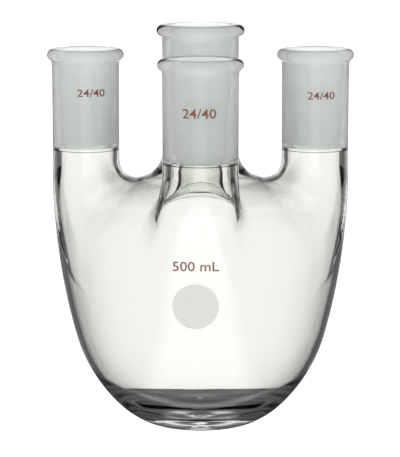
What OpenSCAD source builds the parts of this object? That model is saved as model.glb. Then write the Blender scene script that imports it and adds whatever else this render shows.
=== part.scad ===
// Four-neck round bottom flask: a blown bulb with four ground socket joints
// sealed to its neck stubs, and fired enamel marks. Millimetres, +Z up.
// The origin is the lowest point of the bulb, on the centre neck's axis.

/* [Bulb] */
// Radius of the flank where it runs into the outer necks
flank_r = 61.2; // [58:0.1:66]
// Radius of the long arc down the flank
flank_arc_r = 254; // [235:1:275]
// Slope of the glass where the flank runs into the belly, in degrees
flank_slope = 15.4; // [14:0.1:17]
// Radius of the belly below the flank
belly_arc_r = 66.8; // [64:0.1:70]
// Slope of the glass where the belly runs into the foot, in degrees
belly_slope = 43.7; // [40:0.1:48]
// Radius of the arc that turns the belly in to the flat foot
foot_arc_r = 40.1; // [38:0.1:42]
// Radius of the flat of the foot
foot_flat_r = 15.6; // [10:0.1:20]
// Height of the crown under the centre neck
crown_z = 107.5; // [102:0.5:112]
// Radius of the crown dome
crown_arc_r = 100; // [80:1:140]
// Radius of the rounded shoulder between flank and crown
shoulder_r = 30; // [22:1:34]
// Wall of the bulb
bulb_wall = 2.2; // [1.4:0.1:3.2]
// Thickness of the glass in the flat of the foot
base_wall = 6; // [3:0.5:8]

/* [Necks] */
// Outside radius of the centre neck
centre_neck_r = 15.7; // [14.6:0.1:17]
// Outside radius of the front neck
front_neck_r = 15.1; // [14:0.1:16.5]
// Outside radius of the left and right necks
side_neck_r = 13.8; // [13.4:0.1:15.5]
// Wall of the centre neck below its joint
centre_neck_wall = 3.3; // [2:0.1:4]
// Wall of the front neck below its joint
front_neck_wall = 3.3; // [2:0.1:4]
// Wall of the left and right necks below their joints
side_neck_wall = 2.5; // [2:0.1:3.2]
// Height of the centre rim above the base
centre_top_z = 167.8; // [160:0.1:185]
// Height of the front rim above the base
front_top_z = 157.5; // [153:0.1:175]
// Height of the left and right rims above the base
side_top_z = 157.8; // [153:0.1:175]

/* [Ground joints] */
// Bore at the mouth of a 24/40 standard taper socket
socket_mouth_d = 24; // [24:0.1:24.4]
// Length of the ground zone
socket_length = 40; // [34:1:42]
// Length over which the bore widens again below the ground zone
relief_length = 1.5; // [1:0.1:2.5]
// Height of the rolled rim
rim_height = 4.9; // [4:0.1:5.4]
// How far the side rims stand out from their necks
side_rim_lip = 2.1; // [1.4:0.1:2.4]
// How far the front rim stands out from its neck
front_rim_lip = 2.1; // [1.4:0.1:2.4]
// How far the centre rim stands out from its neck
centre_rim_lip = 2.5; // [1.4:0.1:2.7]

/* [Enamel marks] */
// Thickness of the fired enamel
enamel = 0.12; // [0.08:0.01:0.2]
// Height of the figures on the joints
joint_figure_h = 3.1; // [2.4:0.1:3.6]
// Height of the figures on the bulb
bulb_figure_h = 3.9; // [3:0.1:4.4]
// Height of the middle of the capacity mark
capacity_z = 76.9; // [74:0.1:80]
// Height of the middle of the writing spot
spot_z = 60.3; // [50:0.1:60.5]
// Diameter of the writing spot
spot_d = 19; // [14:0.5:20]

/* [Hidden] */
$fn = 96;

CLEAR = [0.86, 0.90, 0.88];
GROUND = [0.80, 0.82, 0.83];
BROWN = [0.45, 0.20, 0.15];
SPOT = [0.85, 0.86, 0.83];

taper = 1 / 10; // change of diameter per length of a standard taper
neck_inset = 0.1; // the outer necks stand this far inside the flank's widest point
arc_steps = 14;
rod_depth = 47.5; // the neck rods start this far below the crown, well inside the bulb
rod_foot_z = crown_z - rod_depth;
reach = 400; // longer than anything here
mark_turn = -1.8; // degrees that the bulb's marks sit to the left of the front

joint_length = socket_length + relief_length;
socket_foot_r = (socket_mouth_d - taper * socket_length) / 2;
side_offset = flank_r - neck_inset - side_neck_r;
front_offset = flank_r - neck_inset - front_neck_r;

// Where each joint stands: [x, y, top z, outside radius, wall, rim lip]
CENTRE = [0, 0, centre_top_z, centre_neck_r, centre_neck_wall, centre_rim_lip];
LEFT = [-side_offset, 0, side_top_z, side_neck_r, side_neck_wall, side_rim_lip];
RIGHT = [side_offset, 0, side_top_z, side_neck_r, side_neck_wall, side_rim_lip];
FRONT = [0, -front_offset, front_top_z, front_neck_r, front_neck_wall, front_rim_lip];
OUTER_NECKS = [LEFT, RIGHT, FRONT];

// Points of an arc about centre c, from angle a to angle b.
function arc(c, r, a, b, steps = arc_steps) =
    [for (i = [0:steps]) let (t = a + (b - a) * i / steps) c + r * [cos(t), sin(t)]];

// The angle of the line from point a to point b.
function heading(a, b) = atan2(b[1] - a[1], b[0] - a[0]);

// The centre that is r1 from c1 and r2 from c2, to the left of the line from c1 to c2.
function meeting(c1, r1, c2, r2) =
    let (d = norm(c2 - c1), u = (c2 - c1) / d,
         a = (r1 * r1 - r2 * r2 + d * d) / (2 * d), h = sqrt(r1 * r1 - a * a))
    c1 + a * u + h * [-u[1], u[0]];

// The lower arcs' centres, from the flat foot up: each arc lies inside the next one,
// and their centres are on the line to the point where the two meet.
flank_to_belly = (flank_arc_r - belly_arc_r) * [cos(flank_slope), -sin(flank_slope)];
belly_to_foot = (belly_arc_r - foot_arc_r) * [cos(belly_slope), -sin(belly_slope)];
foot_x = flank_r - flank_arc_r + flank_to_belly[0] + belly_to_foot[0];
FOOT_C = [foot_x, sqrt(foot_arc_r * foot_arc_r - pow(foot_flat_r - foot_x, 2))];
BELLY_C = FOOT_C - belly_to_foot;
FLANK_C = BELLY_C - flank_to_belly;

// The upper arcs' centres.
CROWN_C = [0, crown_z - crown_arc_r];
SHOULDER_C = meeting(FLANK_C, flank_arc_r - shoulder_r, CROWN_C, crown_arc_r - shoulder_r);

// The bulb's section from the axis at the base to the axis at the crown, with the flank,
// shoulder and crown drawn in by `inset` and the flat of the base at height z0.
function bulb_section(inset, z0) =
    let (low = asin((z0 - FOOT_C[1]) / (foot_arc_r - inset)),
         high = heading(FLANK_C, SHOULDER_C), over = heading(CROWN_C, SHOULDER_C))
    concat(
        [[0, z0]],
        arc(FOOT_C, foot_arc_r - inset, low, -belly_slope),
        arc(BELLY_C, belly_arc_r - inset, -belly_slope, -flank_slope),
        arc(FLANK_C, flank_arc_r - inset, -flank_slope, high),
        arc(SHOULDER_C, shoulder_r - inset, high, over),
        arc(CROWN_C, crown_arc_r - inset, over, 90)
    );

// The flank carried on up past the shoulder: it trims the outer necks flush with the bulb.
flank_foot = heading(FLANK_C, SHOULDER_C) + 0.3;
function flank_section(inset) =
    concat([[0, FLANK_C[1] + (flank_arc_r - inset) * sin(flank_foot)]],
           arc(FLANK_C, flank_arc_r - inset, flank_foot, 0),
           [[flank_r - inset, side_top_z], [0, side_top_z]]);

module bulb_solid(inset, z0) rotate_extrude() polygon(bulb_section(inset, z0));

// A rod up a neck from inside the bulb to its joint, and past it by `over`.
module neck_rod(n, r, over) translate([n[0], n[1], rod_foot_z])
    cylinder(r = r, h = n[2] - joint_length - rod_foot_z + over);

// Rods up the outer necks, `grow` wider than the necks and taking off `share` of their walls,
// trimmed by the flank drawn in by `inset`.
module outer_neck_rods(grow, share, inset, over) intersection() {
    union() for (n = OUTER_NECKS) neck_rod(n, n[3] + grow - share * n[4], over);
    rotate_extrude() polygon(flank_section(inset));
}

module bulb() color(CLEAR) difference() {
    union() {
        bulb_solid(0, 0);
        outer_neck_rods(0, 0, 0, 0);
        neck_rod(CENTRE, centre_neck_r, 0);
    }
    bulb_solid(bulb_wall, base_wall);
    outer_neck_rods(0, 1, bulb_wall, 1);
    neck_rod(CENTRE, centre_neck_r - centre_neck_wall, 1);
}

// A socket joint, mouth up at height 0: rolled rim, plain outside, tapered ground bore
// and the relief that opens to the neck's own bore.
module socket_joint(n) color(GROUND) translate([n[0], n[1], n[2]]) rotate_extrude() difference() {
    union() {
        translate([n[3] + n[5] - rim_height / 2, -rim_height / 2]) circle(r = rim_height / 2);
        translate([0, -joint_length]) square([n[3], joint_length - rim_height / 2]);
    }
    polygon([
        [-reach, 1], [socket_mouth_d / 2 + taper / 2, 1],
        [socket_foot_r, -socket_length], [n[3] - n[4], -joint_length],
        [n[3] - n[4], -joint_length - 1], [-reach, -joint_length - 1]
    ]);
}

// The figures are plain strokes of width w in a cell one unit high.

module stroke(a, b, w) {
    translate(a) rotate(heading(a, b)) translate([0, -w / 2]) square([norm(b - a), w]);
    translate(a) circle(d = w, $fn = 24);
    translate(b) circle(d = w, $fn = 24);
}

module ring(r, w) difference() {
    circle(r = r + w / 2, $fn = 48);
    circle(r = r - w / 2, $fn = 48);
}

module figure_0(w) difference() {
    union() {
        for (y = [0.3, 0.7]) translate([0.3, y]) circle(r = 0.24 + w / 2, $fn = 48);
        translate([0.06 - w / 2, 0.3]) square([0.48 + w, 0.4]);
    }
    for (y = [0.3, 0.7]) translate([0.3, y]) circle(r = 0.24 - w / 2, $fn = 48);
    translate([0.06 + w / 2, 0.3]) square([0.48 - w, 0.4]);
}

module figure_2(w) {
    intersection() {
        translate([0.3, 0.72]) ring(0.25, w);
        translate([-0.2, 0.72]) square([1, 1]);
    }
    stroke([0.55, 0.72], [0.06, 0.04], w);
    stroke([0.06, 0.04], [0.58, 0.04], w);
}

module figure_4(w) {
    stroke([0.46, 0.04], [0.46, 0.96], w);
    stroke([0.46, 0.96], [0.04, 0.3], w);
    stroke([0.04, 0.3], [0.62, 0.3], w);
}

module figure_5(w) {
    stroke([0.54, 0.96], [0.12, 0.96], w);
    stroke([0.12, 0.96], [0.1, 0.55], w);
    intersection() {
        translate([0.26, 0.32]) ring(0.27, w);
        polygon([[0.26, 0.32], [0.04, 1.2], [1, 1.2], [1, -0.4], [0, -0.4], [0.04, 0.05]]);
    }
}

module letter_m(w) {
    for (x = [0.06, 0.4, 0.74]) stroke([x, 0.04], [x, 0.48], w);
    for (x = [0.23, 0.57]) intersection() {
        translate([x, 0.5]) ring(0.17, w);
        translate([x - 0.5, 0.5]) square([1, 1]);
    }
}

module letter_l(w) {
    stroke([0.08, 0.96], [0.08, 0.04], w);
    stroke([0.08, 0.04], [0.48, 0.04], w);
}

module joint_figures(h) scale(h) translate([-1.86, -0.5]) {
    figure_2(0.15);
    translate([0.74, 0]) figure_4(0.15);
    stroke([1.56, -0.14], [2.02, 1.14], 0.12);
    translate([2.24, 0]) figure_4(0.15);
    translate([3.06, 0]) figure_0(0.15);
}

module capacity_figures(h) scale(h) translate([-2.35, -0.5]) {
    figure_5(0.15);
    translate([0.78, 0]) figure_0(0.15);
    translate([1.56, 0]) figure_0(0.15);
    translate([2.72, 0]) letter_m(0.14);
    translate([3.86, 0]) letter_l(0.15);
}

// The size mark of a joint: figures pressed on to the outside of the neck, turned by `turn`.
module joint_mark(n, drop, turn) color(BROWN) translate([n[0], n[1], n[2] - drop]) rotate(turn)
    intersection() {
        difference() {
            cylinder(r = n[3] + enamel, h = 4 * joint_figure_h, center = true);
            cylinder(r = n[3], h = 5 * joint_figure_h, center = true);
        }
        rotate([90, 0, 0]) linear_extrude(2 * n[3]) joint_figures(joint_figure_h);
    }

// A skin of enamel on the bulb, cut to a flat outline held in front of it.
module bulb_skin(z) intersection() {
    difference() {
        union() {
            bulb_solid(-enamel, -enamel);
            outer_neck_rods(enamel, 0, -enamel, 0);
        }
        bulb_solid(0, 0);
        outer_neck_rods(0, 0, 0, 1);
    }
    rotate(mark_turn) translate([0, 0, z]) rotate([90, 0, 0]) linear_extrude(2 * flank_r) children();
}

module capacity_mark() color(BROWN) bulb_skin(capacity_z) capacity_figures(bulb_figure_h);
module writing_spot() color(SPOT) bulb_skin(spot_z) circle(d = spot_d);

bulb();
socket_joint(CENTRE);  // centre_joint
socket_joint(LEFT);  // left_joint
socket_joint(RIGHT);  // right_joint
socket_joint(FRONT);  // front_joint
capacity_mark();
writing_spot();
joint_mark(CENTRE, 19, 0);  // centre_joint_mark
joint_mark(LEFT, 17.1, 12);  // left_joint_mark
joint_mark(RIGHT, 18.2, 8);  // right_joint_mark
joint_mark(FRONT, 20.3, -2);  // front_joint_mark
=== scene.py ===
import math

import bmesh
import bpy
import numpy as np
from mathutils import Matrix, Vector


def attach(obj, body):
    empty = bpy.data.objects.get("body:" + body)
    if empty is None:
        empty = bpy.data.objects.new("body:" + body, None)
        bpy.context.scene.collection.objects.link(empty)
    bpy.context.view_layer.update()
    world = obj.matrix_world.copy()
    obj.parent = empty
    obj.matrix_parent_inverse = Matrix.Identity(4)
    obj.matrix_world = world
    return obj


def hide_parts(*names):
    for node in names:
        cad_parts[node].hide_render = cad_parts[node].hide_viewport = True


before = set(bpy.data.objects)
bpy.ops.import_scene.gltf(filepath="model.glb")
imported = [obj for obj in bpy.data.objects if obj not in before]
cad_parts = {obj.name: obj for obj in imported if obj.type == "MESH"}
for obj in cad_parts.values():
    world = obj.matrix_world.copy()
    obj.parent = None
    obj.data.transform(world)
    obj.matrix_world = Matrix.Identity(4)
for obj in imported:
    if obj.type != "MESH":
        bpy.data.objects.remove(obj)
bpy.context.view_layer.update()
scene = bpy.context.scene
mm = 0.001  # sizes are in millimetres until they go into a mesh

# the egg's section is a chain of arcs, from the flat foot to the crown
bulbSize = {
    "flankRadius": 61.2,
    "flankArc": 254.0,
    "flankSlope": 15.4,  # degrees, where the flank runs into the belly
    "bellyArc": 66.8,
    "bellySlope": 43.7,  # degrees, where the belly runs into the foot
    "footArc": 40.1,
    "footFlat": 15.6,
    "crownHeight": 107.5,
    "crownArc": 100.0,
    "shoulderArc": 30.0,
    "wall": 2.2,
    "footWall": 6.0,  # the glass is thickest in the flat of the foot
    "footFade": 25.0,  # and thins to the wall over this height
    "footEdge": 3.0,  # softness of the edge of the flat
    "floorEdge": 5.0,
    "neckFoot": 64.0,  # the neck tubes start inside the bulb at this height
    "flushSoft": 3.0,  # how softly the edge is shaded where the necks are worked flush
    "flushFrom": 60.0,  # and where that starts
    "flushFade": 10.0,
    "neckBlend": 5.0,  # the neck's wall runs out over this distance from its tube
    "neckWallFrom": 100.0,  # and comes in from this height
    "neckWallOver": 12.0,
    "sideFrom": 0.25,  # share turned inwards at which the side fillet gives way
    "sideOver": 0.65,
    "slopeStep": 0.02,
    "voxel": 1.25,
}

# fillet is the join towards the middle of the flask, sideFillet the join round the neck's sides,
# flare what the joint widens by on its way up, foot what the tube widens by on its way down
necks = {
    "centre": {
        "node": "centre_joint", "x": 0.0, "y": 0.0, "top": 167.8, "radius": 15.7, "wall": 3.3,
        "lip": 2.5, "flare": 0.25, "groundEnd": 127.0, "fillet": 9.0, "sideFillet": 9.0,
        "foot": 0.0, "footLean": 0.0,
    },
    "left": {
        "node": "left_joint", "x": -47.3, "y": 0.0, "top": 157.8, "radius": 13.8, "wall": 2.5,
        "lip": 2.1, "flare": 0.2, "groundEnd": 118.6, "fillet": 10.0, "sideFillet": 20.0,
        "foot": 0.0, "footLean": 0.0,
    },
    "right": {
        "node": "right_joint", "x": 47.3, "y": 0.0, "top": 157.8, "radius": 13.8, "wall": 2.5,
        "lip": 2.1, "flare": 0.2, "groundEnd": 118.6, "fillet": 10.0, "sideFillet": 20.0,
        "foot": 0.0, "footLean": 0.0,
    },
    "front": {
        "node": "front_joint", "x": 0.0, "y": -46.0, "top": 157.5, "radius": 15.1, "wall": 3.3,
        "lip": 2.1, "flare": 0.2, "groundEnd": 117.9, "fillet": 6.0, "sideFillet": 3.5,
        "foot": 4.2, "footLean": 1.8,  # blown out at its foot, and more so on its left
    },
}

footFrom, footTo = 83.0, 112.0  # heights between which a tube widens at its foot

jointSize = {
    "mouthRadius": 12.0,
    "footRadius": 10.0,
    "groundLength": 40.0,
    "length": 41.5,
    "rimHeight": 4.9,
    "rimSteps": 12,
    "rimFrom": -62.0,  # degrees, where the rolled rim leaves the tube
    "rimStep": 0.15,  # the tube stands out this far under the rim
    "rimStepDown": 0.5,
    "lip": 1.3,  # how far the mouth is rounded
    "lipSteps": 6,
    "flareAt": (0.25, 0.5, 0.75, 0.93),  # shares of the tube's height that carry its flare
    "flareShare": 0.6,
    "groundSteps": 7,
    "boreStep": 0.15,  # the step below the ground zone, and where it starts and ends
    "boreStepFrom": 1.0,
    "boreStepTo": 1.25,
    "groundBelow": 0.2,  # the ground faces reach this far below the zone
    "groundAbove": 0.4,  # and stop this far short of the top
    "turns": 120,
}


def meeting(first, firstReach, second, secondReach):
    # the point at the two reaches, to the left of the line from first to second
    apart = second - first
    gap = np.hypot(*apart)
    along = (firstReach ** 2 - secondReach ** 2 + gap ** 2) / (2 * gap)
    aside = math.sqrt(firstReach ** 2 - along ** 2)
    unit = apart / gap
    return first + along * unit + aside * np.array([-unit[1], unit[0]])


def heading(a, b):
    return math.atan2(b[1] - a[1], b[0] - a[0])


def downSlope(degrees):
    return np.array([math.cos(math.radians(degrees)), -math.sin(math.radians(degrees))])


size = bulbSize
flankToBelly = (size["flankArc"] - size["bellyArc"]) * downSlope(size["flankSlope"])
bellyToFoot = (size["bellyArc"] - size["footArc"]) * downSlope(size["bellySlope"])
footX = size["flankRadius"] - size["flankArc"] + flankToBelly[0] + bellyToFoot[0]
footCentre = np.array([footX, math.sqrt(size["footArc"] ** 2 - (size["footFlat"] - footX) ** 2)])
bellyCentre = footCentre - bellyToFoot
flankCentre = bellyCentre - flankToBelly
crownCentre = np.array([0.0, size["crownHeight"] - size["crownArc"]])
shoulderCentre = meeting(
    flankCentre, size["flankArc"] - size["shoulderArc"],
    crownCentre, size["crownArc"] - size["shoulderArc"],
)
shoulderTurn = heading(flankCentre, shoulderCentre)
crownTurn = heading(crownCentre, shoulderCentre)
flankTurn, bellyTurn = -math.radians(size["flankSlope"]), -math.radians(size["bellySlope"])
seamHeight = {name: neck["top"] - jointSize["length"] for name, neck in necks.items()}


def ease(share):
    share = np.clip(share, 0.0, 1.0)
    return share * share * (3 - 2 * share)


def softMax(a, b, soft):
    soft = np.maximum(soft, 0.001)
    near = np.maximum(soft - np.abs(a - b), 0.0) / soft
    return np.maximum(a, b) + near * near * soft / 4


def arcDistance(r, z, centre, radius):
    return np.hypot(r - centre[0], z - centre[1]) - radius


def eggDistance(r, z):
    # signed distance to the egg without its necks, arc by arc from the foot up
    fromFlank = np.arctan2(z - flankCentre[1], r - flankCentre[0])
    fromBelly = np.arctan2(z - bellyCentre[1], r - bellyCentre[0])
    fromCrown = np.arctan2(z - crownCentre[1], r - crownCentre[0])
    return np.select(
        [(fromFlank < flankTurn) & (fromBelly < bellyTurn), fromFlank < flankTurn,
         fromFlank < shoulderTurn, fromCrown < crownTurn],
        [arcDistance(r, z, footCentre, size["footArc"]),
         arcDistance(r, z, bellyCentre, size["bellyArc"]),
         arcDistance(r, z, flankCentre, size["flankArc"]),
         arcDistance(r, z, shoulderCentre, size["shoulderArc"])],
        arcDistance(r, z, crownCentre, size["crownArc"]),
    )


def flankDistance(r, z):
    # the flank arc, and straight up above it
    arc = arcDistance(r, z, flankCentre, size["flankArc"])
    return np.where(z < flankCentre[1], arc, r - size["flankRadius"])


def neckPlace(points, neck):
    # distance from the neck's axis, share turned towards the flask's middle, share turned left
    dx, dy = points[:, 0] - neck["x"], points[:, 1] - neck["y"]
    out = np.hypot(dx, dy) + 1e-9
    fromAxis = math.hypot(neck["x"], neck["y"])
    inward = -(dx * neck["x"] + dy * neck["y"]) / (fromAxis * out) if fromAxis else np.ones(len(out))
    return out, inward, -dx / out


def filletUnion(a, b, fillet):
    return np.maximum(fillet, np.minimum(a, b)) - np.hypot(
        np.maximum(fillet - a, 0.0), np.maximum(fillet - b, 0.0)
    )


def wallAt(points):
    # thick in the foot, thin on the bulb, the tube's own wall up the necks
    z = points[:, 2]
    wall = size["wall"] + (size["footWall"] - size["wall"]) * ease(1 - z / size["footFade"])
    for neck in necks.values():
        away = np.hypot(points[:, 0] - neck["x"], points[:, 1] - neck["y"])
        share = np.clip((neck["radius"] + size["neckBlend"] - away) / size["neckBlend"], 0, 1)
        share = share * ease((z - size["neckWallFrom"]) / size["neckWallOver"])
        wall = wall + (neck["wall"] - wall) * share
    return wall


def glassField(points, skin, soft=0.0):
    # zero on the outer skin (skin 0) or on the inner skin (skin 1)
    r, z = np.hypot(points[:, 0], points[:, 1]), points[:, 2]
    thick = wallAt(points) if skin else 0.0
    field = eggDistance(r, z) + thick
    for neck in necks.values():
        out, inward, leftward = neckPlace(points, neck)
        widen = (neck["foot"] + neck["footLean"] * leftward) * ease((footTo - z) / (footTo - footFrom))
        tube = np.maximum(out - neck["radius"] - widen, size["neckFoot"] - z) + thick
        share = ease((inward - size["sideFrom"]) / size["sideOver"])
        fillet = neck["sideFillet"] + (neck["fillet"] - neck["sideFillet"]) * share + thick
        field = filletUnion(field, tube, fillet)
    field = softMax(field, flankDistance(r, z) + thick, soft)
    if skin:
        return softMax(field, size["footWall"] - z, size["floorEdge"])
    return softMax(field, -z, size["footEdge"])


def slopeOf(points, skin, soft=0.0):
    width = size["slopeStep"]
    return np.stack([
        (glassField(points + step, skin, soft) - glassField(points - step, skin, soft)) / (2 * width)
        for step in width * np.eye(3)
    ], axis=1)


settling = {
    "flattest": 0.1,  # a squared slope under this counts as this
    "furthest": 2.0,  # that a point may move in one round
    "outerRounds": 8,
    "innerRounds": 10,
}


def settle(points, skin, rounds):
    # moves points along the field's slope until they lie on the skin
    furthest = settling["furthest"]
    for _ in range(rounds):
        slope = slopeOf(points, skin)
        steep = np.maximum((slope ** 2).sum(axis=1), settling["flattest"])
        move = np.clip(glassField(points, skin) / steep, -furthest, furthest)
        points = points - move[:, None] * slope
    return points


def coords(mesh):
    flat = np.empty(len(mesh.vertices) * 3)
    mesh.vertices.foreach_get("co", flat)
    return flat.reshape(-1, 3)


def place(mesh, points):
    mesh.vertices.foreach_set("co", points.astype(np.float32).ravel())
    mesh.update()


def newPiece(name, bm, materials):
    mesh = bpy.data.meshes.new(name)
    bm.to_mesh(mesh)
    bm.free()
    for material in materials:
        mesh.materials.append(material)
    piece = bpy.data.objects.new(name, mesh)
    scene.collection.objects.link(piece)
    return piece


def spinRound(bm, section, turns, foot=(0.0, 0.0), closed=True):
    # spins a section of (radius, height) round an upright line through foot
    verts = [bm.verts.new((foot[0] + r * mm, foot[1], z * mm)) for r, z in section]
    edges = [bm.edges.new(pair) for pair in zip(verts, verts[1:])]
    if closed:
        edges.append(bm.edges.new((verts[-1], verts[0])))
    bmesh.ops.spin(
        bm, geom=verts + edges, cent=(foot[0], foot[1], 0), axis=(0, 0, 1),
        angle=2 * math.pi, steps=turns, use_merge=True, use_duplicate=False,
    )


def linear(hexColour):
    # sRGB hex to linear light
    parts = [int(hexColour[i:i + 2], 16) / 255 for i in (1, 3, 5)]
    return tuple(c / 12.92 if c <= 0.04045 else ((c + 0.055) / 1.055) ** 2.4 for c in parts) + (1.0,)


def addNode(tree, kind, settings=None, inputs=None, **links):
    # one node: its settings, its socket values, and links given as socket=(node, output)
    node = tree.nodes.new(kind)
    for key, value in (settings or {}).items():
        setattr(node, key, value)
    for key, value in (inputs or {}).items():
        node.inputs[key].default_value = value
    for key, (source, output) in links.items():
        socket = int(key[1:]) if key[1:].isdigit() else key.replace("_", " ")
        tree.links.new(source.outputs[output], node.inputs[socket])
    return node


def startMaterial(name, shader):
    material = bpy.data.materials.new(name)
    material.use_nodes = True
    tree = material.node_tree
    tree.nodes.clear()
    surface = addNode(tree, "ShaderNodeBsdfPrincipled", inputs=shader)
    addNode(tree, "ShaderNodeOutputMaterial", Surface=(surface, "BSDF"))
    return material, tree, surface


clearLook = {
    "face": "#F7F8F5",
    "paintedEdgeShade": "#5C6664",  # painted shade: the glass is darkened where it is seen edge on, standing in for the dark surroundings seen in its edges
    "paintedEdgeShadePower": 3.0,
    "ior": 1.474,
    "swell": 9.0,  # mm between the faint swells that blowing leaves
    "swellHeight": 0.03,
}


def clearGlass():
    # borosilicate, blown and fire polished: clear and smooth, with a faint swell; its edges are darkened by
    # painted shade that grows as the glass is seen edge on
    look = clearLook
    material, tree, surface = startMaterial("borosilicateBlown", {
        "Roughness": 0.0, "IOR": look["ior"], "Transmission Weight": 1.0,
    })
    facing = addNode(tree, "ShaderNodeLayerWeight", inputs={"Blend": 0.5})
    # painted shade: the glass colour turns dark as the surface is seen edge on
    paintedShadeShare = addNode(
        tree, "ShaderNodeMath", {"operation": "POWER"}, {1: look["paintedEdgeShadePower"]}, s0=(facing, "Facing"),
    )
    tintAndPaintedShade = addNode(
        tree, "ShaderNodeMix", {"data_type": "RGBA"},
        {6: linear(look["face"]), 7: linear(look["paintedEdgeShade"])}, s0=(paintedShadeShare, 0),
    )
    tree.links.new(tintAndPaintedShade.outputs[2], surface.inputs["Base Color"])
    spot = addNode(tree, "ShaderNodeTexCoord")
    swell = addNode(
        tree, "ShaderNodeTexNoise", None,
        {"Scale": 1 / (look["swell"] * mm), "Detail": 1.0, "Roughness": 0.4}, Vector=(spot, "Object"),
    )
    bump = addNode(
        tree, "ShaderNodeBump", None, {"Strength": 1.0, "Distance": look["swellHeight"] * mm},
        Height=(swell, 0),
    )
    tree.links.new(bump.outputs["Normal"], surface.inputs["Normal"])
    return material


groundLook = {
    "face": "#F4F6F5",
    "worn": "#EAEDEE",
    "roughness": 0.6,
    "wear": 0.06,  # the roughness varies by this either way
    "through": 0.45,  # the rest of the light is thrown back by the grit
    "grit": 0.35,  # mm: coarser than real lapping grit, so that it shows
    "gritDepth": 0.012,
    "rings": 2.4,  # mm between the faint rings that lapping leaves
}


def groundGlass():
    # borosilicate ground with grit on a taper lap: a matt white that hides what is behind it
    look = groundLook
    material, tree, surface = startMaterial("borosilicateGround", {
        "IOR": clearLook["ior"], "Transmission Weight": look["through"],
    })
    spot = addNode(tree, "ShaderNodeTexCoord")
    squash = addNode(tree, "ShaderNodeMapping", None, {"Scale": (0.05, 0.05, 1.0)}, Vector=(spot, "Object"))
    rings = addNode(
        tree, "ShaderNodeTexNoise", None,
        {"Scale": 1 / (look["rings"] * mm), "Detail": 2.0, "Roughness": 0.5}, Vector=(squash, "Vector"),
    )
    shade = addNode(
        tree, "ShaderNodeMix", {"data_type": "RGBA"},
        {6: linear(look["face"]), 7: linear(look["worn"])}, s0=(rings, 0),
    )
    tree.links.new(shade.outputs[2], surface.inputs["Base Color"])
    wear = addNode(
        tree, "ShaderNodeMapRange", None,
        {"From Min": 0.3, "From Max": 0.7,
         "To Min": look["roughness"] - look["wear"], "To Max": look["roughness"] + look["wear"]},
        Value=(rings, 0),
    )
    tree.links.new(wear.outputs["Result"], surface.inputs["Roughness"])
    grit = addNode(
        tree, "ShaderNodeTexNoise", None,
        {"Scale": 1 / (look["grit"] * mm), "Detail": 2.0, "Roughness": 0.6}, Vector=(spot, "Object"),
    )
    bump = addNode(
        tree, "ShaderNodeBump", None, {"Strength": 0.6, "Distance": look["gritDepth"] * mm},
        Height=(grit, 0),
    )
    tree.links.new(bump.outputs["Normal"], surface.inputs["Normal"])
    return material


def seamGlass():
    # the fused seam between a joint and its neck: the same glass on both sides, so nothing bends
    return startMaterial("fusedSeam", {
        "Base Color": (1, 1, 1, 1), "Roughness": 0.0, "IOR": 1.0, "Transmission Weight": 1.0,
    })[0]


brownLook = {"face": "#653A31", "thin": "#83574C", "speckle": 0.3, "roughness": 0.35}
paleLook = {"face": "#C6C7C1", "thin": "#BABDB7", "speckle": 0.5, "roughness": 0.6}


def firedEnamel(name, look):
    # vitreous enamel, screened on and fired: slightly uneven cover, satin surface
    material, tree, surface = startMaterial(name, {"Roughness": look["roughness"], "IOR": 1.5})
    spot = addNode(tree, "ShaderNodeTexCoord")
    cover = addNode(
        tree, "ShaderNodeTexNoise", None,
        {"Scale": 1 / (look["speckle"] * mm), "Detail": 3.0, "Roughness": 0.6}, Vector=(spot, "Object"),
    )
    colour = addNode(
        tree, "ShaderNodeMix", {"data_type": "RGBA"},
        {6: linear(look["face"]), 7: linear(look["thin"])}, s0=(cover, 0),
    )
    tree.links.new(colour.outputs[2], surface.inputs["Base Color"])
    bump = addNode(
        tree, "ShaderNodeBump", None, {"Strength": 0.4, "Distance": 0.02 * mm}, Height=(cover, 0),
    )
    tree.links.new(bump.outputs["Normal"], surface.inputs["Normal"])
    return material


blown, ground, seam = clearGlass(), groundGlass(), seamGlass()
brown = firedEnamel("brownEnamelFired", brownLook)
pale = firedEnamel("paleEnamelFired", paleLook)
print("materials made")


roughSize = {
    "arcPoints": 12,
    "turns": 96,
    "tubeSides": 72,
    "poleGap": 0.02,  # radians left open at the crown, and filled
    "weld": 0.1,
    "tubeAbove": 5.0,  # the tubes run this far past their seams
    "tubeInto": 4.0,  # and start this far above the finished tubes' feet
    "cutDown": 4.0,  # the cut takes in faces this far below the seam
    "cutReach": 4.0,  # and this far outside the neck
    "rimReach": 2.0,
    "rimNear": 0.01,
}


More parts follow.
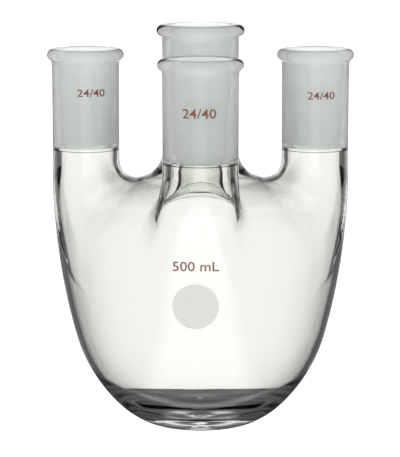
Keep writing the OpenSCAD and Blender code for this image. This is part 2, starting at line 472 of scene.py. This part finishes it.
def roughBulb():
    # egg and tubes as overlapping closed shells; the remesh makes them one skin
    bm = bmesh.new()
    section = []
    for centre, radius, start, end in (
        (footCentre, size["footArc"], math.asin(-footCentre[1] / size["footArc"]), bellyTurn),
        (bellyCentre, size["bellyArc"], bellyTurn, flankTurn),
        (flankCentre, size["flankArc"], flankTurn, shoulderTurn),
        (shoulderCentre, size["shoulderArc"], shoulderTurn, crownTurn),
        (crownCentre, size["crownArc"], crownTurn, math.pi / 2 - roughSize["poleGap"]),
    ):
        for angle in np.linspace(start, end, roughSize["arcPoints"]):
            section.append((centre[0] + radius * math.cos(angle), centre[1] + radius * math.sin(angle)))
    spinRound(bm, section, roughSize["turns"], closed=False)
    bmesh.ops.remove_doubles(bm, verts=bm.verts, dist=roughSize["weld"] * mm)
    bmesh.ops.holes_fill(bm, edges=[e for e in bm.edges if e.is_boundary])
    for name, neck in necks.items():
        top = seamHeight[name] + roughSize["tubeAbove"]
        foot = size["neckFoot"] + roughSize["tubeInto"]
        bmesh.ops.create_cone(
            bm, cap_ends=True, segments=roughSize["tubeSides"],
            radius1=neck["radius"] * mm, radius2=neck["radius"] * mm, depth=(top - foot) * mm,
            matrix=Matrix.Translation((neck["x"] * mm, neck["y"] * mm, (top + foot) / 2 * mm)),
        )
    bmesh.ops.recalc_face_normals(bm, faces=bm.faces)
    return bm


def nearNeck(spot, neck, reach):
    return math.hypot(spot.x - neck["x"] * mm, spot.y - neck["y"] * mm) < reach * mm


def cutNecks(bm):
    # cuts each neck off square at its seam
    for name, neck in necks.items():
        height = seamHeight[name] * mm
        cutFrom, reach = height - roughSize["cutDown"] * mm, neck["radius"] + roughSize["cutReach"]
        geom = set()
        for f in bm.faces:
            middle = f.calc_center_median()
            if middle.z > cutFrom and nearNeck(middle, neck, reach):
                geom.update([f, *f.edges, *f.verts])
        bmesh.ops.bisect_plane(
            bm, geom=list(geom), dist=0.001 * mm, plane_co=(0, 0, height), plane_no=(0, 0, 1),
            clear_outer=True,
        )


def closeRims(bm):
    # joins the outer skin to the inner one round each cut, with faces of the seam's own glass
    for name, neck in necks.items():
        height, reach = seamHeight[name] * mm, neck["radius"] + roughSize["rimReach"]
        rim = [
            e for e in bm.edges
            if e.is_boundary and nearNeck(e.verts[0].co, neck, reach)
            and all(abs(v.co.z - height) < roughSize["rimNear"] * mm for v in e.verts)
        ]
        for f in bmesh.ops.bridge_loops(bm, edges=rim)["faces"]:
            f.material_index = 1
        for e in rim:
            e.smooth = False


def shade(mesh):
    # the field's own slope shades each skin, so that no facet shows in the glass; the flush edge
    # is shaded softer than the crease that the mesh has there
    points = coords(mesh) / mm
    soft = size["flushSoft"] * ease((points[:, 2] - size["flushFrom"]) / size["flushFade"])
    inner = np.abs(glassField(points, 1)) < np.abs(glassField(points, 0))
    slope = np.where(inner[:, None], -slopeOf(points, 1, soft), slopeOf(points, 0, soft))
    slope /= np.linalg.norm(slope, axis=1)[:, None]
    mesh.normals_split_custom_set_from_vertices(slope.tolist())


def makeBulb():
    shell = newPiece("bulbGlass", roughBulb(), [])
    remesh = shell.modifiers.new("skin", "REMESH")
    remesh.mode = "VOXEL"
    remesh.voxel_size = size["voxel"] * mm
    baked = bpy.data.meshes.new_from_object(shell.evaluated_get(bpy.context.evaluated_depsgraph_get()))
    shell.modifiers.clear()
    outer = settle(coords(baked) / mm, 0, settling["outerRounds"])
    inner = settle(outer.copy(), 1, settling["innerRounds"])
    bm = bmesh.new()
    for points, inward in ((outer, False), (inner, True)):
        place(baked, points * mm)
        part = bmesh.new()
        part.from_mesh(baked)
        cutNecks(part)
        bmesh.ops.delete(part, geom=[v for v in part.verts if not v.link_faces], context="VERTS")
        if inward:
            bmesh.ops.reverse_faces(part, faces=part.faces)
        held = bpy.data.meshes.new("held")
        part.to_mesh(held)
        part.free()
        bm.from_mesh(held)
        bpy.data.meshes.remove(held)
    closeRims(bm)
    for f in bm.faces:
        f.smooth = True
    print("bulb faces", len(bm.faces), "open edges", sum(e.is_boundary for e in bm.edges))
    bm.to_mesh(shell.data)
    bm.free()
    shade(shell.data)
    shell.data.materials.append(blown)
    shell.data.materials.append(seam)
    bpy.data.meshes.remove(baked)
    return shell


bulb = makeBulb()
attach(bulb, "root")
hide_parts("bulb")
print("bulb blown")


def jointSection(neck):
    # a rolled rim, a tube that widens a little, the ground taper and the step below it
    top, radius, lip = neck["top"], neck["radius"], jointSize["lip"]
    rim = jointSize["rimHeight"] / 2
    foot = top - jointSize["length"]
    bore = radius - neck["wall"]
    straight = top - 2 * rim - foot
    section = [(radius, foot)]
    flareShare = jointSize["flareShare"]
    for share in jointSize["flareAt"]:
        section.append((radius + neck["flare"] * share ** 2 * flareShare, foot + straight * share))
    section.append((
        radius + neck["flare"] * flareShare + jointSize["rimStep"],
        top - 2 * rim - jointSize["rimStepDown"],
    ))
    for angle in np.radians(np.linspace(jointSize["rimFrom"], 90, jointSize["rimSteps"] + 1)):
        section.append((
            radius + neck["lip"] - rim + rim * math.cos(angle), top - rim + rim * math.sin(angle),
        ))
    for angle in np.radians(np.linspace(90, 180, jointSize["lipSteps"] + 1)):
        section.append((
            jointSize["mouthRadius"] + lip + lip * math.cos(angle), top - lip + lip * math.sin(angle),
        ))
    taper = (jointSize["mouthRadius"] - jointSize["footRadius"]) / jointSize["groundLength"]
    for depth in np.linspace(lip, top - neck["groundEnd"], jointSize["groundSteps"] + 1)[1:]:
        section.append((jointSize["mouthRadius"] - taper * depth, top - depth))
    end = neck["groundEnd"]
    return section + [
        (bore - jointSize["boreStep"], end - jointSize["boreStepFrom"]),
        (bore, end - jointSize["boreStepTo"]),
        (bore, foot),
    ]


def makeJoint(name, neck):
    bm = bmesh.new()
    spinRound(bm, jointSection(neck), jointSize["turns"], (neck["x"] * mm, neck["y"] * mm))
    bmesh.ops.recalc_face_normals(bm, faces=bm.faces)
    foot = neck["top"] - jointSize["length"]
    axis = Vector((neck["x"] * mm, neck["y"] * mm, 0))
    groundFrom = neck["groundEnd"] - jointSize["groundBelow"]
    groundTo = neck["top"] - jointSize["groundAbove"]
    for f in bm.faces:
        middle = f.calc_center_median()
        height = middle.z / mm
        facingIn = f.normal.xy.dot((middle - axis).xy) < 0
        f.smooth = True
        if abs(height - foot) < 0.01:
            f.material_index = 2
        elif facingIn and groundFrom < height < groundTo:
            f.material_index = 1
    for e in bm.edges:
        if len({f.material_index == 2 for f in e.link_faces}) > 1:
            e.smooth = False
    piece = newPiece(name + "Joint", bm, [blown, ground, seam])
    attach(piece, "root")
    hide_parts(neck["node"])


for name, neck in necks.items():
    makeJoint(name, neck)
print("joints ground")

markSize = {
    "lift": 0.02,  # the enamel starts this far off the glass
    "thick": 0.08,
    "stroke": 0.08,  # how much heavier the figures are than the plain face
    "bend": 0.8,  # width of the strips that let figures follow the glass
    "flareShare": 0.5,  # share of a neck's flare reached at its mark
    "lean": 10.0,  # degrees, the flank's lean under the marks
    "around": 58.0,  # radius on which a width is laid round the bulb
    "startRadius": 59.0,
    "rounds": 14,
    "roundShare": 0.9,  # share of the distance to the glass taken in each round
    "capacity": {"high": 4.0, "wide": 17.9, "middle": 76.9, "turn": -1.8},
    "spot": {"radius": 9.4, "middle": 60.3, "turn": -2.0, "rings": 10, "turns": 64},
    "necks": {
        "centre": {"high": 3.3, "wide": 11.9, "drop": 19.0, "turn": 0.0},
        "left": {"high": 3.1, "wide": 11.5, "drop": 17.1, "turn": 12.0},
        "right": {"high": 3.1, "wide": 11.3, "drop": 18.2, "turn": 8.0},
        "front": {"high": 3.8, "wide": 13.4, "drop": 20.3, "turn": -2.0},
    },
}


def onNeck(points, neck, middle, turn):
    # x goes round the neck, y goes up it, z stands off it
    angle = points[:, 0] / neck["radius"] + math.radians(turn - 90)
    reach = neck["radius"] + neck["flare"] * markSize["flareShare"] + points[:, 2]
    return np.stack([
        neck["x"] + reach * np.cos(angle), neck["y"] + reach * np.sin(angle), middle + points[:, 1],
    ], axis=1)


def onBulb(points, middle, turn):
    # laid on the bulb's skin: x goes round it, y goes up it along the leaning flank
    z = middle + points[:, 1] * math.cos(math.radians(markSize["lean"]))
    r = np.full(len(points), markSize["startRadius"])
    angle = points[:, 0] / markSize["around"] + math.radians(turn - 90)
    for _ in range(markSize["rounds"]):
        off = glassField(np.stack([r * np.cos(angle), r * np.sin(angle), z], axis=1), 0)
        r = r - markSize["roundShare"] * off
    r = r + points[:, 2]
    return np.stack([r * np.cos(angle), r * np.sin(angle), z], axis=1)


def standOff(points):
    points[:, 2] = markSize["lift"] + (points[:, 2] + 0.5) * markSize["thick"]
    return points


def cutStrips(bm, wide, high):
    # cuts flat figures into strips both ways so that they can bend
    for along, reach in ((Vector((1, 0, 0)), wide / 2), (Vector((0, 1, 0)), high / 2)):
        count = int(reach / markSize["bend"])
        for i in range(-count, count + 1):
            bmesh.ops.bisect_plane(
                bm, geom=bm.verts[:] + bm.edges[:] + bm.faces[:], dist=1e-5,
                plane_co=along * (i * markSize["bend"]), plane_no=along,
            )


def makeFigures(name, words, spec, node):
    # plain figures from the built-in face, as thin solid enamel, in millimetres, centred
    curve = bpy.data.curves.new(name, "FONT")
    curve.body = words
    curve.size = 10
    curve.extrude = 0.5
    curve.offset = markSize["stroke"]
    curve.resolution_u = 3
    text = bpy.data.objects.new(name, curve)
    scene.collection.objects.link(text)
    mesh = bpy.data.meshes.new_from_object(text.evaluated_get(bpy.context.evaluated_depsgraph_get()))
    bpy.data.objects.remove(text)
    bpy.data.curves.remove(curve)
    points = coords(mesh)
    low, high = points.min(axis=0), points.max(axis=0)
    place(mesh, (points - (low + high) / 2) / (high - low) * np.array([spec["wide"], spec["high"], 1.0]))
    bm = bmesh.new()
    bm.from_mesh(mesh)
    bpy.data.meshes.remove(mesh)
    bmesh.ops.remove_doubles(bm, verts=bm.verts, dist=0.001)
    cutStrips(bm, spec["wide"], spec["high"])
    bmesh.ops.recalc_face_normals(bm, faces=bm.faces)
    piece = newPiece(name, bm, [brown])
    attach(piece, "root")
    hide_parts(node)
    return piece


for name, spec in markSize["necks"].items():
    neck = necks[name]
    piece = makeFigures(name + "Figures", "24/40", spec, name + "_joint_mark")
    flat = standOff(coords(piece.data))
    place(piece.data, onNeck(flat, neck, neck["top"] - spec["drop"], spec["turn"]) * mm)

spec = markSize["capacity"]
piece = makeFigures("capacityFigures", "500 mL", spec, "capacity_mark")
place(piece.data, onBulb(standOff(coords(piece.data)), spec["middle"], spec["turn"]) * mm)


def makeSpot():
    # a round of enamel: a spoke spun about its middle, then given its thickness
    spec = markSize["spot"]
    bm = bmesh.new()
    verts = [bm.verts.new((spec["radius"] * i / spec["rings"], 0, -0.5)) for i in range(spec["rings"] + 1)]
    edges = [bm.edges.new(pair) for pair in zip(verts, verts[1:])]
    bmesh.ops.spin(
        bm, geom=verts + edges, cent=(0, 0, 0), axis=(0, 0, 1), angle=2 * math.pi,
        steps=spec["turns"], use_merge=True, use_duplicate=False,
    )
    bmesh.ops.remove_doubles(bm, verts=bm.verts, dist=0.001)
    top = bmesh.ops.extrude_face_region(bm, geom=bm.faces[:])
    moved = [g for g in top["geom"] if isinstance(g, bmesh.types.BMVert)]
    bmesh.ops.translate(bm, verts=moved, vec=(0, 0, 1.0))
    bmesh.ops.recalc_face_normals(bm, faces=bm.faces)
    piece = newPiece("writingSpot", bm, [pale])
    place(piece.data, onBulb(standOff(coords(piece.data)), spec["middle"], spec["turn"]) * mm)
    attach(piece, "root")
    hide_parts("writing_spot")


makeSpot()
print("marks fired")

# the white sweep and sky light everything; what is mirrored in or on the glass finds dark sides
# and a dark ceiling, as it does between the black cards of a glassware set
studio = {
    "floorHalf": 30.0,  # metres
    "white": 1.06,
    "gathered": 1.27,  # what matt surfaces gather
    "side": 0.0,
    "fadeFrom": 0.18,  # sideways over depth, where the mirrored white starts to fade
    "fadeTo": 0.36,
    "depth": 0.1,
    "overhead": 0.12,  # the mirrored ceiling, faded in between these two upward slopes
    "upFrom": 0.02,
    "upTo": 0.3,
    "scatter": 9.0,  # one scatter off a matt surface outweighs this many mirrorings
    # a dark round under the foot, seen only through the glass: painted shade for the foot
    "shadeDiscRadius": 40.0,
    "shadeDiscColour": "#363C3F",
}


def brightness(tree, source):
    # white for plain light and for what matt surfaces gather; for mirrored light white ahead
    # and behind, and dark at the sides and overhead
    path = addNode(tree, "ShaderNodeLightPath")
    scattered = addNode(
        tree, "ShaderNodeMath", {"operation": "MULTIPLY"}, {1: studio["scatter"]},
        s0=(path, "Diffuse Depth"),
    )
    mirrored = addNode(
        tree, "ShaderNodeMath", {"operation": "SUBTRACT", "use_clamp": True},
        s0=(path, "Glossy Depth"), s1=(scattered, 0),
    )
    split = addNode(tree, "ShaderNodeSeparateXYZ", Vector=source)
    aside = addNode(tree, "ShaderNodeMath", {"operation": "ABSOLUTE"}, s0=(split, "X"))
    ahead = addNode(tree, "ShaderNodeMath", {"operation": "ABSOLUTE"}, s0=(split, "Y"))
    reach = addNode(tree, "ShaderNodeMath", {"operation": "ADD"}, {1: studio["depth"]}, s0=(ahead, 0))
    share = addNode(tree, "ShaderNodeMath", {"operation": "DIVIDE"}, s0=(aside, 0), s1=(reach, 0))
    fade = addNode(
        tree, "ShaderNodeMapRange", {"interpolation_type": "SMOOTHSTEP"},
        {"From Min": studio["fadeFrom"], "From Max": studio["fadeTo"],
         "To Min": studio["white"], "To Max": studio["side"]},
        Value=(share, 0),
    )
    level = addNode(
        tree, "ShaderNodeMapRange", {"interpolation_type": "SMOOTHSTEP"},
        {"From Min": studio["upFrom"], "From Max": studio["upTo"], "To Max": studio["overhead"]},
        Value=(split, "Z"),
    )
    tree.links.new(fade.outputs["Result"], level.inputs["To Min"])
    plain = addNode(
        tree, "ShaderNodeMapRange", None, {"To Min": studio["white"], "To Max": studio["gathered"]},
        Value=(path, "Diffuse Depth"),
    )
    return addNode(
        tree, "ShaderNodeMix", {"data_type": "FLOAT"}, s0=(mirrored, 0), s2=(plain, "Result"),
        s3=(level, "Result"),
    )


def makeFloor():
    bm = bmesh.new()
    bmesh.ops.create_grid(bm, x_segments=1, y_segments=1, size=studio["floorHalf"])
    bmesh.ops.translate(bm, verts=bm.verts, vec=(0, 0, -0.4 * mm))
    material, tree, surface = startMaterial("paleSweep", {
        "Roughness": 1.0, "Specular IOR Level": 0.0, "Base Color": (0.1, 0.1, 0.1, 1),
        "Emission Color": (1, 1, 1, 1),
    })
    spot = addNode(tree, "ShaderNodeTexCoord")
    level = brightness(tree, (spot, "Object"))
    tree.links.new(level.outputs[0], surface.inputs["Emission Strength"])
    newPiece("paleFloor", bm, [material])


def makeShadeDisc():
    # a dark round under the foot, seen only through the glass: painted shade that darkens the glass foot
    bm = bmesh.new()
    bmesh.ops.create_circle(bm, cap_ends=True, segments=96, radius=studio["shadeDiscRadius"] * mm)
    bmesh.ops.translate(bm, verts=bm.verts, vec=(0, 0, -0.2 * mm))
    material = startMaterial("paintedShadeDisc", {
        "Roughness": 1.0, "Specular IOR Level": 0.0, "Base Color": linear(studio["shadeDiscColour"]),
    })[0]
    shadeDisc = newPiece("paintedShadeDisc", bm, [material])
    shadeDisc.visible_camera = shadeDisc.visible_diffuse = shadeDisc.visible_shadow = False


def makeWorld():
    world = bpy.data.worlds.new("softStudio")
    scene.world = world
    world.use_nodes = True
    tree = world.node_tree
    tree.nodes.clear()
    spot = addNode(tree, "ShaderNodeTexCoord")
    level = brightness(tree, (spot, "Generated"))
    sky = addNode(tree, "ShaderNodeBackground", None, {"Color": (1, 1, 1, 1)}, Strength=(level, 0))
    addNode(tree, "ShaderNodeOutputWorld", Surface=(sky, "Background"))


def softLight(name, wide, high, power, at, aim):
    lamp = bpy.data.lights.new(name, "AREA")
    lamp.shape = "RECTANGLE"
    lamp.size, lamp.size_y = wide, high
    lamp.energy = power
    holder = bpy.data.objects.new(name, lamp)
    holder.location = at
    holder.rotation_euler = (Vector(aim) - Vector(at)).to_track_quat("-Z", "Y").to_euler()
    holder.visible_glossy = holder.visible_transmission = False
    scene.collection.objects.link(holder)


makeFloor()
makeShadeDisc()
makeWorld()
softLight("softboxLeft", 0.5, 0.9, 3.0, (-1.1, -0.9, 0.9), (0, 0, 0.1))
softLight("softboxRight", 0.3, 0.9, 1.2, (1.2, -0.6, 0.7), (0, 0, 0.1))

cameraSet = {"away": 1.0, "eye": 0.237, "aside": -0.0002, "pitch": 8.76, "lens": 191.6}


def makeCamera():
    lens = bpy.data.cameras.new("studioCamera")
    lens.lens = cameraSet["lens"]
    lens.sensor_width = 36.0
    lens.clip_end = 100.0
    holder = bpy.data.objects.new("studioCamera", lens)
    holder.location = (cameraSet["aside"], -cameraSet["away"], cameraSet["eye"])
    holder.rotation_euler = (math.radians(90 - cameraSet["pitch"]), 0, 0)
    scene.collection.objects.link(holder)
    scene.camera = holder


makeCamera()
scene.view_settings.view_transform = "Standard"
scene.cycles.use_denoising = True
scene.cycles.max_bounces = 32
scene.cycles.transmission_bounces = 32
scene.cycles.glossy_bounces = 16
scene.cycles.diffuse_bounces = 6
scene.cycles.transparent_max_bounces = 32
print("studio set")
